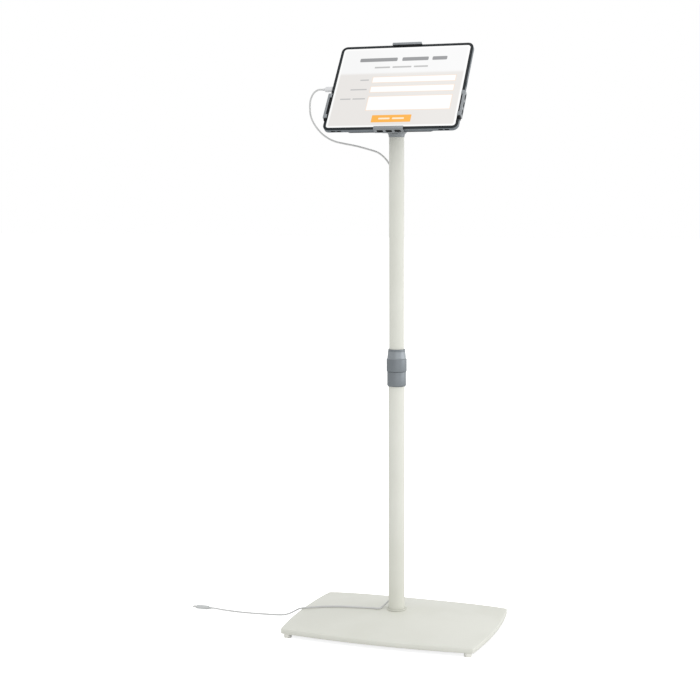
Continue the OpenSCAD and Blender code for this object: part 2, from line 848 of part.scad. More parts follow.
module arm_lock_screws() {
    head_end = holder_back + lock_head_h;
    color(rubber_black) in_head() for (p = lock_spots) difference() {
        union() {
            rod(p[0], p[1], lock_screw_d / 2, arm_y + arm_t + loose, holder_back + past);
            rod(p[0], p[1], lock_head_d / 2, holder_back, head_end);
        }
        rod(p[0], p[1], lock_screw_d * hex_ratio, head_end - lock_head_h * hex_deep, head_end + past, 6);
    }
}

// Clamp arm of one edge, reaching inward from the clip
module arm(side, reach) {
    color(steel) in_head() on_edge(side) {
        box(-arm_w / 2, arm_w / 2, arm_y, arm_y + arm_t, -reach, -arm_short);
    }
}

// Flange behind the tablet, bent inward from a clip's wall
module flange(outer) {
    translate([-flange_w / 2, 0, 0]) rotate([90, 0, 90]) linear_extrude(flange_w) polygon([
        [tablet_t - past, pad_t], [plate_y + loose, pad_t], [plate_y + loose, pad_t - clip_flange],
        [arm_y, pad_t - clip_flange], [arm_y, outer - flange_bend], [tablet_t, outer],
        [tablet_t - past, outer]
    ]);
}

// Clip round one edge of the tablet, with a lip in front and an optional window in the lip
module clip(side, reach, window = false) {
    half = clip_l / 2;
    outer = pad_t + clip_t;
    color(clip_grey) in_head() on_edge(side) difference() {
        union() {
            box(-half, half, lip_y, tablet_t, pad_t, outer);
            box(-half, half, lip_y, lip_y + clip_t, -reach, outer);
            flange(outer);
        }
        for (i = [-1:1]) translate([i * slot_pitch, slot_y, pad_t - past]) {
            linear_extrude(clip_t + 2 * past) soft_rect(slot_l, slot_w, slot_r);
        }
        if (window) {
            box(tab_l - half, half - tab_l, lip_y - past, lip_y + clip_t + past, -reach - past, -lip_short);
        }
    }
}

// Rubber lining of a clip, with an optional tail beyond the clip's lower end
module pad(side, reach, tail = -pad_inset) {
    half = clip_l / 2;
    front = lip_y + clip_t;
    color(rubber_black) in_head() on_edge(side) {
        box(pad_inset - half, half + tail, front, tablet_t - pad_inset, pad_room, pad_t);
        box(pad_inset - half, half + tail, front, -front_lip - pad_room, -reach, pad_t / 2);
    }
}

module bottom_arm() {
    difference() {
        arm("bottom", bottom_reach);
        in_head() rod(0, bottom_screw_up, cover_screw_d / 2 + loose, plate_y, holder_back);
    }
}

module bottom_clip() {
    clip("bottom", bottom_lip);
}

module bottom_pad() {
    pad("bottom", bottom_lip - pad_inset);
}

module left_arm() {
    arm("left", side_reach);
}

module left_clip() {
    clip("left", side_tab, true);
}

module left_pad() {
    pad("left", side_tab - pad_inset, pad_tail);
}

module right_arm() {
    arm("right", side_reach);
}

module right_clip() {
    clip("right", side_tab, true);
}

module right_pad() {
    pad("right", side_tab - pad_inset, pad_tail);
}

module top_arm() {
    arm("top", top_reach);
}

module top_clip() {
    clip("top", top_lip);
}

module top_pad() {
    pad("top", top_lip + top_pad_over);
}

// Tablet

module tablet_shell() {
    port_w = tip_w + 2 * slip;
    port_thick = tip_thick + 2 * slip;
    port_deep = tip_in + inside_edge + bezel;
    color(dark_frame) in_head() difference() {
        slab(-front_lip, tablet_t) translate([0, screen_mid]) soft_rect(tablet_w, tablet_h, tablet_r);
        slab(-front_lip - past, screen_t + loose) translate([0, screen_mid]) {
            soft_rect(screen_w + 2 * loose, screen_h + 2 * loose, screen_r + loose);
        }
        slab(screen_t, tablet_t - shell_t) translate([0, screen_mid]) {
            soft_rect(screen_w - 2 * inside_edge, screen_h - 2 * inside_edge, screen_r);
        }
        on_port() translate([0, 0, -port_deep]) {
            linear_extrude(port_deep + past) soft_rect(port_w, port_thick, pill * port_thick);
        }
        at_power() button_body(slip, inside_edge + bezel + past);
        at_volume() button_body(slip, inside_edge + bezel + past, volume_l);
        for (x = speaker_spots, s = [-1, 1]) {
            translate([s * x, speaker_y, -bezel - past]) linear_extrude(speaker_deep + past) {
                soft_rect(speaker_l, speaker_w, pill * speaker_w);
            }
        }
    }
}

// Frames of the charging port and of the two buttons: z outward from the tablet's side
module on_port() {
    translate([-tablet_w / 2, plug_y, screen_mid]) rotate([0, -90, 0]) children();
}

module at_power() {
    translate([tablet_w / 2, plug_y, power_up]) rotate([0, 90, 0]) children();
}

module at_volume() {
    translate([volume_x, plug_y, screen_h + bezel]) children();
}

module button_body(room, deep, l = power_l) {
    translate([0, 0, -deep]) linear_extrude(deep + button_proud + (room > 0 ? past : 0)) {
        soft_rect(l + 2 * room, button_w + 2 * room, pill * (button_w + 2 * room));
    }
}

module tablet_screen() {
    color(screen_white) in_head() slab(0, screen_t) {
        translate([0, screen_mid]) soft_rect(screen_w, screen_h, screen_r);
    }
}

module tablet_battery() {
    color(steel) in_head() slab(screen_t + slip, tablet_t - shell_t - slip) {
        translate([0, screen_mid]) soft_rect(battery_w, battery_h, battery_r);
    }
}

module tablet_board() {
    color(board_green) in_head() slab(screen_t + slip, tablet_t - shell_t - slip) {
        translate([board_x, screen_mid]) soft_rect(board_w, board_h, board_r);
    }
}

module power_button() {
    color(dark_frame) in_head() at_power() button_body(0, bezel);
}

module volume_button() {
    color(dark_frame) in_head() at_volume() button_body(0, bezel, volume_l);
}

// Charging cable

module tablet_plug() {
    color(plug_white) in_head() on_port() translate([0, 0, plug_gap]) {
        linear_extrude(plug_l) soft_rect(plug_w, plug_thick, plug_thick * plug_round);
        translate([0, 0, plug_l]) cylinder(r1 = plug_thick / 2, r2 = relief_r, h = relief_l, $fn = round_fn);
    }
}

module plug_tip() {
    color(steel) in_head() on_port() translate([0, 0, -tip_in]) {
        linear_extrude(tip_in + plug_gap) soft_rect(tip_w, tip_thick, pill * tip_thick);
    }
}

module cable_upper() {
    color(cable_grey) cable_tube(concat(upper_route, [
        at_head([plug_end_x - relief_l, plug_y, screen_mid]),
        at_head([plug_end_x, plug_y, screen_mid])
    ]));
}

module cable_inside() {
    color(cable_grey) translate([0, 0, cable_join_low]) {
        cylinder(d = cable_d, h = cable_join_top - cable_join_low, $fn = round_fn);
    }
}

module cable_lower() {
    color(cable_grey) cable_tube(lower_route);
}

// Frame of the plug on the floor: z along it, away from the cable
module on_floor_plug(along) {
    translate(lower_route[len(lower_route) - 1]) rotate([0, -90, 0]) translate([0, 0, along]) children();
}

module floor_plug_relief() {
    color(plug_white) on_floor_plug(0) {
        cylinder(r1 = relief_r, r2 = floor_plug_thick / 2 - slip, h = relief_l, $fn = round_fn);
    }
}

module floor_plug_body() {
    color(plug_white) on_floor_plug(relief_l) linear_extrude(floor_plug_l) {
        soft_rect(floor_plug_thick, floor_plug_w, floor_plug_thick * plug_round);
    }
}

// Outline of a plug's metal tip, drawn in by an inset
module tip_outline(inset) {
    thick = tip_thick - 2 * inset;
    soft_rect(thick, tip_w - 2 * inset, pill * thick);
}

module floor_plug_tip() {
    color(steel) on_floor_plug(relief_l + floor_plug_l) {
        linear_extrude(floor_tip_l) difference() {
            tip_outline(0);
            tip_outline(tip_wall);
        }
        linear_extrude(tip_back) tip_outline(tip_wall / 2);
    }
}

base_cover();
ballast_plate();
base_feet();
foot_screws();
pole_spacer();
pole_bolt();
bolt_washer();
pole_insert();
pole_ring();
lower_tube();
lower_grommet();
collar_sleeve();
collet();
lock_nut();
guide_bush();
upper_tube();
upper_grommet();
tilt_yoke();
hinge_bolt();
hinge_nut();
friction_washers();
hinge_bracket();
bracket_screws();
back_plate();
arm_housing();
housing_cover();
cover_screws();
arm_lock_screws();
bottom_arm();
bottom_clip();
bottom_pad();
left_arm();
left_clip();
left_pad();
right_arm();
right_clip();
right_pad();
top_arm();
top_clip();
top_pad();
tablet_shell();
tablet_screen();
tablet_battery();
tablet_board();
power_button();
volume_button();
tablet_plug();
plug_tip();
cable_upper();
cable_inside();
cable_lower();
floor_plug_relief();
floor_plug_body();
floor_plug_tip();
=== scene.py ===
import json
import math

import bmesh
import bpy
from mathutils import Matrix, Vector


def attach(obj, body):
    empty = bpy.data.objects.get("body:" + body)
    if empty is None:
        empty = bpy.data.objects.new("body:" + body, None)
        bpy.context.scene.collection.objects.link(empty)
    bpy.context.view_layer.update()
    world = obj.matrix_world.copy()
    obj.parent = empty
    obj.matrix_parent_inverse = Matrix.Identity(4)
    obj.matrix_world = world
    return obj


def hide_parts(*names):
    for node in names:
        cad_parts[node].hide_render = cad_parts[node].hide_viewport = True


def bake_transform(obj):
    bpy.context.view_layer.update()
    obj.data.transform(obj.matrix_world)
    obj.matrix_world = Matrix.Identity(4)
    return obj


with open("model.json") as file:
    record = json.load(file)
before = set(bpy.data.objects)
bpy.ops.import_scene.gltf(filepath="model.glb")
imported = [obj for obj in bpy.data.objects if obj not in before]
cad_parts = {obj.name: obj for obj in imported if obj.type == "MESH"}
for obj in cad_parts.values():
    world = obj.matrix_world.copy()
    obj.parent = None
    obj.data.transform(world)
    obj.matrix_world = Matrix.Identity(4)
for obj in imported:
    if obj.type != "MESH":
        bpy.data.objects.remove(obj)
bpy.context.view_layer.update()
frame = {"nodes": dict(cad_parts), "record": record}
nodes = frame["nodes"]
mm = 0.001
white = (1, 1, 1, 1)
print("frame loaded with", len(nodes), "nodes")

# camera of the photograph
photoCamera = {
    "lens": 70.13,
    "sensor": 36.0,
    "place": (0.84105, -2.5536, 0.85425),
    "pitchDown": 6.14,
    "turn": 18.23,
    "shiftX": -0.0666,
    "reach": 100,
}


def setCamera(spec):
    data = bpy.data.cameras.new("photoCamera")
    data.sensor_fit = "HORIZONTAL"
    data.sensor_width = spec["sensor"]
    data.lens = spec["lens"]
    data.shift_x = spec["shiftX"]
    data.clip_end = spec["reach"]
    data.dof.use_dof = False
    camera = bpy.data.objects.new("photoCamera", data)
    camera.location = spec["place"]
    camera.rotation_euler = (math.radians(90 - spec["pitchDown"]), 0, math.radians(spec["turn"]))
    bpy.context.scene.collection.objects.link(camera)
    bpy.context.scene.camera = camera


setCamera(photoCamera)
print("camera set")

# frame of the tilting head, in mm from the glass's lower edge: right, into the screen, up it
head = {"tilt": 34.8, "hingeZ": 1019.0, "hingeBack": 27.15, "hingeUp": 41.6}
headCos = math.cos(math.radians(head["tilt"]))
headSin = math.sin(math.radians(head["tilt"]))


def atHead(x, y, z):
    y -= head["hingeBack"]
    z -= head["hingeUp"]
    return (x, y * headCos + z * headSin, head["hingeZ"] - y * headSin + z * headCos)


# shader maths: a wire is one output socket
class Wire:
    def __init__(self, finish, socket):
        self.finish = finish
        self.socket = socket

    def maths(self, operation, left, right=0.0):
        return self.finish.put("ShaderNodeMath", {"operation": operation}, {0: left, 1: right})

    def __add__(self, other):
        return self.maths("ADD", self, other)

    def __radd__(self, other):
        return self.maths("ADD", other, self)

    def __sub__(self, other):
        return self.maths("SUBTRACT", self, other)

    def __rsub__(self, other):
        return self.maths("SUBTRACT", other, self)

    def __mul__(self, other):
        return self.maths("MULTIPLY", self, other)

    def __rmul__(self, other):
        return self.maths("MULTIPLY", other, self)

    def __truediv__(self, other):
        return self.maths("DIVIDE", self, other)

    def __rtruediv__(self, other):
        return self.maths("DIVIDE", other, self)

    def __pow__(self, other):
        return self.maths("POWER", self, other)

    def __rpow__(self, other):
        return self.maths("POWER", other, self)

    def __abs__(self):
        return self.maths("ABSOLUTE", self)

    def __gt__(self, other):
        return self.maths("GREATER_THAN", self, other)

    def __lt__(self, other):
        return self.maths("LESS_THAN", self, other)

    def most(self, other):
        return self.maths("MAXIMUM", self, other)

    def fade(self, low, high):
        settings = {"interpolation_type": "SMOOTHSTEP", "clamp": True}
        values = {0: self, 1: low, 2: high, 3: 0.0, 4: 1.0}
        return self.finish.put("ShaderNodeMapRange", settings, values)


class Finish:
    def __init__(self, owner):
        self.owner = owner
        owner.use_nodes = True
        self.tree = owner.node_tree
        self.tree.nodes.clear()

    def put(self, kind, settings=None, values=None, out=0):
        node = self.tree.nodes.new(kind)
        for key, value in (settings or {}).items():
            setattr(node, key, value)
        for key, value in (values or {}).items():
            if isinstance(value, Wire):
                self.tree.links.new(value.socket, node.inputs[key])
            else:
                node.inputs[key].default_value = value
        return Wire(self, node.outputs[out] if node.outputs else None)

    def place(self):
        return self.put("ShaderNodeTexCoord", out="Object")

    def axes(self, spot):
        node = self.put("ShaderNodeSeparateXYZ", values={0: spot}).socket.node
        return [Wire(self, socket) for socket in node.outputs]

    def noise(self, spot, scale, detail):
        values = {"Vector": spot, "Scale": scale, "Detail": detail}
        return self.put("ShaderNodeTexNoise", {}, values)

    def stretched(self, spot, scales):
        return self.put("ShaderNodeMapping", {}, {"Vector": spot, "Scale": scales})

    def mixed(self, mask, first, second):
        values = {0: mask, 6: first, 7: second}
        return self.put("ShaderNodeMix", {"data_type": "RGBA"}, values, out=2)

    def bump(self, height, strength, distance):
        values = {"Strength": strength, "Distance": distance, "Height": height}
        return self.put("ShaderNodeBump", {}, values)

    def surface(self, values):
        shader = self.put("ShaderNodeBsdfPrincipled", {}, values)
        self.put("ShaderNodeOutputMaterial", {}, {"Surface": shader})
        return self.owner


def newFinish(name):
    return Finish(bpy.data.materials.new(name))


# screen colour to the light that a shader takes
def tone(red, green, blue):
    parts = []
    for part in (red, green, blue):
        part /= 255
        parts.append(part / 12.92 if part <= 0.04045 else ((part + 0.055) / 1.055) ** 2.4)
    return (*parts, 1.0)


# powder paint: clouds, grains and specks are a noise's scale and detail, as in the finishes below
coat = {
    "clouds": (9, 3),
    "grains": (1100, 2),
    "specks": (420, 1),
    "cloudEdge": (0.32, 0.68),
    "speckEdge": (0.70, 0.78),
    "speckShow": 0.35,
    "cloudRough": 0.08,
    "grainRough": 0.06,
    "speckBump": 0.6,
    "specular": 0.4,
    "bumpDeep": 0.0003,
}


def powderCoat(name, colour, shade, rough, peel):
    finish = newFinish(name)
    spot = finish.place()
    cloud = finish.noise(spot, *coat["clouds"])
    grain = finish.noise(spot, *coat["grains"])
    speck = finish.noise(spot, *coat["specks"])
    base = finish.mixed(cloud.fade(*coat["cloudEdge"]), shade, colour)
    base = finish.mixed(speck.fade(*coat["speckEdge"]) * coat["speckShow"], base, shade)
    return finish.surface({
        "Base Color": base,
        "Roughness": rough + cloud * coat["cloudRough"] + grain * coat["grainRough"],
        "Specular IOR Level": coat["specular"],
        "Normal": finish.bump(grain + speck * coat["speckBump"], peel, coat["bumpDeep"]),
    })


moulded = {
    "clouds": (30, 2),
    "grains": (1600, 2),
    "cloudEdge": (0.3, 0.7),
    "grainRough": 0.10,
    "specular": 0.4,
    "bump": 0.10,
    "bumpDeep": 0.0002,
}


def mouldedPlastic(name, colour, shade, rough, grains=moulded["grains"]):
    finish = newFinish(name)
    spot = finish.place()
    grain = finish.noise(spot, *grains)
    cloud = finish.noise(spot, *moulded["clouds"])
    return finish.surface({
        "Base Color": finish.mixed(cloud.fade(*moulded["cloudEdge"]), shade, colour),
        "Roughness": rough + grain * moulded["grainRough"],
        "Specular IOR Level": moulded["specular"],
        "Normal": finish.bump(grain, moulded["bump"], moulded["bumpDeep"]),
    })


blasted = {
    "clouds": (24, 3),
    "grains": (2200, 2),
    "cloudEdge": (0.3, 0.7),
    "cloudRough": 0.06,
    "grainRough": 0.12,
    "bump": 0.10,
    "bumpDeep": 0.0002,
}


def blastedMetal(name, colour, shade, rough, metallic):
    finish = newFinish(name)
    spot = finish.place()
    grain = finish.noise(spot, *blasted["grains"])
    cloud = finish.noise(spot, *blasted["clouds"])
    return finish.surface({
        "Base Color": finish.mixed(cloud.fade(*blasted["cloudEdge"]), shade, colour),
        "Metallic": metallic,
        "Roughness": rough + grain * blasted["grainRough"] + cloud * blasted["cloudRough"],
        "Normal": finish.bump(grain, blasted["bump"], blasted["bumpDeep"]),
    })


brushed = {
    "clouds": (40, 2),
    "lines": (1.0, 3),
    "lineEdge": (0.3, 0.7),
    "lineRough": 0.14,
    "cloudRough": 0.05,
    "bump": 0.08,
    "bumpDeep": 0.0002,
}


def brushedMetal(name, colour, shade, rough, along):
    finish = newFinish(name)
    spot = finish.place()
    lines = finish.noise(finish.stretched(spot, along), *brushed["lines"])
    cloud = finish.noise(spot, *brushed["clouds"])
    return finish.surface({
        "Base Color": finish.mixed(lines.fade(*brushed["lineEdge"]), shade, colour),
        "Metallic": 1.0,
        "Roughness": rough + lines * brushed["lineRough"] + cloud * brushed["cloudRough"],
        "Normal": finish.bump(lines, brushed["bump"], brushed["bumpDeep"]),
    })


# grey flake plastic of the twist lock, with the nut's cone painted lighter as a painted highlight
# of the brighter light it faces, and a little smoother; heights in mm
collarLook = {
    "wall": tone(125, 130, 134),
    "wallShade": tone(121, 126, 130),
    # painted highlight: lighter copy of the wall colour for the nut's cone
    "cone": tone(139, 144, 148),
    "coneFrom": 547.6,
    "coneTo": 562.8,
    "conePolish": 0.04,
    "rough": 0.38,
}


def collarFlake():
    finish = newFinish("collarFlake")
    spot = finish.place()
    up = finish.axes(spot)[2] / mm
    grain = finish.noise(spot, *blasted["grains"])
    cloud = finish.noise(spot, *blasted["clouds"])
    clouded = cloud.fade(*blasted["cloudEdge"])
    wall = finish.mixed(clouded, collarLook["wallShade"], collarLook["wall"])
    # mask of the nut's cone, where the painted highlight and the smoother finish go
    cone = (up > collarLook["coneFrom"]) * (up < collarLook["coneTo"])
    rough = collarLook["rough"] + grain * blasted["grainRough"] + cloud * blasted["cloudRough"]
    return finish.surface({
        "Base Color": finish.mixed(cone, wall, collarLook["cone"]),
        "Metallic": 1.0,
        "Roughness": rough - cone * collarLook["conePolish"],
        "Normal": finish.bump(grain, blasted["bump"], blasted["bumpDeep"]),
    })


rubber = {
    "grains": (1800, 3),
    "dust": (160, 3),
    "dustEdge": (0.45, 0.75),
    "rough": 0.72,
    "grainRough": 0.16,
    "specular": 0.3,
    "bump": 0.18,
    "bumpDeep": 0.0003,
}


def softRubber(name, colour, shade):
    finish = newFinish(name)
    spot = finish.place()
    grain = finish.noise(spot, *rubber["grains"])
    dust = finish.noise(spot, *rubber["dust"])
    return finish.surface({
        "Base Color": finish.mixed(dust.fade(*rubber["dustEdge"]), colour, shade),
        "Roughness": rubber["rough"] + grain * rubber["grainRough"],
        "Specular IOR Level": rubber["specular"],
        "Normal": finish.bump(grain, rubber["bump"], rubber["bumpDeep"]),
    })


# right, into the screen and up it, in mm
def headAxes(finish):
    across, along, up = finish.axes(finish.place())
    foot = atHead(0, 0, 0)
    away = along / mm - foot[1]
    over = up / mm - foot[2]
    return across / mm, away * headCos - over * headSin, away * headSin + over * headCos


# dark glass edge in front, anodised metal at the sides and the back, and the speaker slots' shallow
# floors painted near-black as painted shade of deep holes
tabletLook = {
    "front": tone(22, 29, 33),
    "side": tone(119, 125, 130),
    "back": tone(112, 118, 123),
    # painted shade: near-black colour for the speaker slots' floors
    "mesh": tone(16, 17, 18),
    "bezelDeep": (0.45, 0.75),
    "slots": (103, 115),
    "slotLong": 9.2,
    "slotWide": 3.2,
    "slotDeep": 4.7,
    "slotBelow": -2.0,
    "clouds": (18, 3),
    "grains": (2600, 2),
    "cloudEdge": (0.3, 0.7),
    "metallic": 0.55,
    "rough": 0.34,
    "grainRough": 0.08,
    "bareRough": 0.08,
    "slotRough": 0.3,
    "specular": 0.2,
    "bump": 0.06,
    "bumpDeep": 0.0001,
}


def tabletMetal(look):
    finish = newFinish("tabletMetal")
    spot = finish.place()
    right, depth, high = headAxes(finish)
    grain = finish.noise(spot, *look["grains"])
    cloud = finish.noise(spot, *look["clouds"])
    metal = finish.mixed(cloud.fade(*look["cloudEdge"]), look["back"], look["side"])
    rim = depth.fade(*look["bezelDeep"])
    first, second = (abs(abs(right) - x) < look["slotLong"] / 2 for x in look["slots"])
    inSlot = abs(depth - look["slotDeep"]) < look["slotWide"] / 2
    # painted shade: mask of the speaker slots' floors, painted near-black
    shadedSlot = first.most(second) * inSlot * (high < look["slotBelow"])
    bare = rim * (1 - shadedSlot)
    rough = look["rough"] + grain * look["grainRough"] + bare * look["bareRough"]
    return finish.surface({
        "Base Color": finish.mixed(shadedSlot, finish.mixed(rim, look["front"], metal), look["mesh"]),
        "Metallic": bare * look["metallic"],
        "Roughness": rough + shadedSlot * look["slotRough"],
        "Specular IOR Level": look["specular"],
        "Normal": finish.bump(grain, look["bump"], look["bumpDeep"]),
    })


# page on the screen: plain bars and fields, in mm of the head frame
page = {
    "width": 262.0,
    "height": 196.5,
    "margin": 4.0,
    "marginCorner": 3.0,
    "marginSoft": 1.5,
    "header": (128.0, 136.0),
    "soft": 0.35,
    "paper": tone(232, 229, 226),
    "top": tone(245, 245, 245),
    "edge": tone(253, 253, 252),
    "field": tone(254, 254, 253),
    "fieldLine": tone(247, 224, 205),
    "ink": tone(148, 149, 151),
    "softInk": tone(190, 190, 190),
    "button": tone(252, 180, 68),
    "buttonInk": tone(254, 236, 208),
    "titles": [(-92, -14, 162, 171), (-4, 50, 162, 171), (58, 88, 162, 171)],
    "subtitles": [(-58, -26, 145, 149), (-21, 18, 145, 149), (23, 52, 145, 149)],
    "labels": [
        (-82, -64, 114.5, 117.5), (-98, -64, 91, 94), (-115, -93, 68, 71), (-89, -63, 68, 71),
    ],
    "fields": [(-56, 113, 109.5, 122.5), (-56, 113, 85.5, 99), (-56, 113, 41, 74)],
    "buttons": [(-40, 40, 11, 28.5)],
    "buttonBars": [(-26, -3, 18, 22), (2, 26, 18, 22)],
    "layers": [  # areas, ink, corner, grown by
        ("titles", "ink", 2.0, 0.0),
        ("subtitles", "softInk", 1.2, 0.0),
        ("labels", "softInk", 0.8, 0.0),
        ("fields", "fieldLine", 0.8, 1.3),
        ("fields", "field", 0.4, 0.0),
        ("buttons", "button", 1.2, 0.0),
        ("buttonBars", "buttonInk", 1.2, 0.0),
    ],
    "glass": tone(20, 21, 22),
    "glassRough": 0.12,
    "smears": (22, 4),
    "smearEdge": (0.45, 0.8),
    "smearRough": 0.10,
    "specular": 0.35,
    "glow": 0.97,
}


def litScreen():
    finish = newFinish("litScreen")
    right, _, high = headAxes(finish)

    def panel(area, corner, soft):
        left, end, low, top = area
        dx = (abs(right - (left + end) / 2) - ((end - left) / 2 - corner)).most(0.0)
        dz = (abs(high - (low + top) / 2) - ((top - low) / 2 - corner)).most(0.0)
        away = (dx * dx + dz * dz) ** 0.5 - corner
        return 1 - away.fade(-soft, soft)

    def painted(colour, areas, ink, corner, grow):
        mask = None
        for left, end, low, top in areas:
            grown = (left - grow, end + grow, low - grow, top + grow)
            one = panel(grown, corner, page["soft"])
            mask = one if mask is None else mask.most(one)
        return finish.mixed(mask, colour, ink)

    margin = page["margin"]
    half = page["width"] / 2
    inside = (margin - half, half - margin, margin, page["height"] - margin)
    colour = finish.mixed(high.fade(*page["header"]), page["paper"], page["top"])
    sheet = panel(inside, page["marginCorner"], page["marginSoft"])
    colour = finish.mixed(sheet, page["edge"], colour)
    for areas, ink, corner, grow in page["layers"]:
        colour = painted(colour, page[areas], page[ink], corner, grow)
    smear = finish.noise(finish.place(), *page["smears"])
    return finish.surface({
        "Base Color": page["glass"],
        "Roughness": page["glassRough"] + smear.fade(*page["smearEdge"]) * page["smearRough"],
        "Specular IOR Level": page["specular"],
        "Emission Color": colour,
        "Emission Strength": page["glow"],
    })


# colour, shade, roughness and what else each finish takes
armBright, armShade = tone(190, 192, 194), tone(172, 174, 176)
looks = {
    "offWhite": powderCoat("offWhiteCoat", tone(227, 227, 218), tone(222, 222, 212), 0.42, 0.08),
    # painted shade: the pole's ring is the base's off-white darkened for the shade at the pole's
    # foot
    "ring": mouldedPlastic("shadedRingPlastic", tone(208, 208, 197), tone(203, 203, 192), 0.48),
    # painted light: the feet are lighter than the base's off-white to make up for the shade under
    # the base
    "litFootPlastic": mouldedPlastic("litFootPlastic", tone(240, 239, 232), tone(235, 234, 226), 0.50),
    "collar": collarFlake(),
    "clip": blastedMetal("clipMetal", tone(140, 144, 147), tone(134, 138, 141), 0.36, 0.35),
    "holder": powderCoat("holderCoat", tone(66, 70, 75), tone(58, 62, 67), 0.45, 0.16),
    "tablet": tabletMetal(tabletLook),
    "screen": litScreen(),
    "rubber": softRubber("gripRubber", tone(14, 15, 16), tone(26, 27, 28)),
    "innerPlastic": mouldedPlastic("innerPlastic", tone(38, 39, 40), tone(30, 31, 32), 0.50),
    "steel": brushedMetal(
        "zincSteel", tone(186, 188, 190), tone(164, 166, 168), 0.26, (900, 900, 90)),
    "arm": brushedMetal("armSteel", armBright, armShade, 0.30, (40, 1200, 1200)),
    "armUp": brushedMetal("armSteelUp", armBright, armShade, 0.30, (1200, 60, 60)),
    "ballast": brushedMetal(
        "millSteel", tone(120, 122, 124), tone(96, 98, 100), 0.46, (14, 220, 220)),
    "blackScrew": blastedMetal("blackScrew", tone(48, 49, 50), tone(38, 39, 40), 0.40, 0.6),
    "cable": mouldedPlastic(
        "cableJacket", tone(212, 212, 211), tone(206, 206, 205), 0.46, grains=(900, 2)),
    "plug": mouldedPlastic("plugPlastic", tone(224, 224, 225), tone(219, 219, 220), 0.34),
    # painted shade: a darker copy of the plug plastic for the plug lying on the floor
    "shadedFloorPlug": mouldedPlastic(
        "shadedFloorPlugPlastic", tone(206, 208, 207), tone(200, 202, 201), 0.38),
    "plugMetal": brushedMetal(
        "plugMetal", tone(206, 206, 204), tone(188, 188, 186), 0.22, (60, 900, 900)),
    "battery": mouldedPlastic("batteryWrap", tone(62, 63, 66), tone(52, 53, 56), 0.40),
    "board": mouldedPlastic("boardGreen", tone(44, 104, 66), tone(36, 88, 56), 0.38),
}
print("finishes made:", len(looks))


# a piece from a mesh, with its finish
def addPiece(name, mesh, look):
    piece = bpy.data.objects.new(name, mesh)
    bpy.context.scene.collection.objects.link(piece)
    mesh.materials.clear()
    mesh.materials.append(looks[look])
    return piece


def shadeByAngle(mesh, angle):
    mesh.polygons.foreach_set("use_smooth", [True] * len(mesh.polygons))
    mesh.set_sharp_from_angle(angle=math.radians(angle))


bodies = frame["record"]["behaviour"]["bodies"]
bodyOf = {name: body for body, names in bodies.items() for name in names}

# rounding of sharp edges, angles in degrees
rounding = {"weld": 2e-6, "flat": 0.6, "sharp": 28, "segments": 2, "profile": 0.5, "shade": 40}


# copy of a solid with its sharp edges rounded
def softened(name, width, look):
    mesh = nodes[name].data.copy()
    solid = bmesh.new()
    solid.from_mesh(mesh)
    bmesh.ops.remove_doubles(solid, verts=solid.verts, dist=rounding["weld"])
    flat = math.radians(rounding["flat"])
    bmesh.ops.dissolve_limit(solid, angle_limit=flat, verts=solid.verts, edges=solid.edges)
    sharp = math.radians(rounding["sharp"])
    edges = [e for e in solid.edges if e.is_manifold and e.calc_face_angle(0) > sharp]
    bmesh.ops.bevel(
        solid, geom=edges, offset=width, segments=rounding["segments"],
        profile=rounding["profile"], affect="EDGES", clamp_overlap=False,
    )
    bmesh.ops.triangulate(solid, faces=[f for f in solid.faces if len(f.verts) > 4])
    bmesh.ops.recalc_face_normals(solid, faces=solid.faces)
    solid.to_mesh(mesh)
    solid.free()
    shadeByAngle(mesh, rounding["shade"])
    piece = addPiece(name + "_soft", mesh, look)
    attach(piece, bodyOf[name])
    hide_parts(name)
    return piece


# mesh of quads between loops of points in metres, ringed or with flat ends
def skinned(name, loops, angle, ringed=False):
    solid = bmesh.new()
    rows = [[solid.verts.new(p) for p in loop] for loop in loops]
    count = len(rows[0])
    for row, following in zip(rows, rows[1:] + (rows[:1] if ringed else [])):
        for k in range(count):
            n = (k + 1) % count
            solid.faces.new((row[k], row[n], following[n], following[k]))
    if not ringed:
        solid.faces.new(rows[0][::-1])
        solid.faces.new(rows[-1])
    bmesh.ops.recalc_face_normals(solid, faces=solid.faces)
    mesh = bpy.data.meshes.new(name)
    solid.to_mesh(mesh)
    solid.free()
    shadeByAngle(mesh, angle)
    return mesh


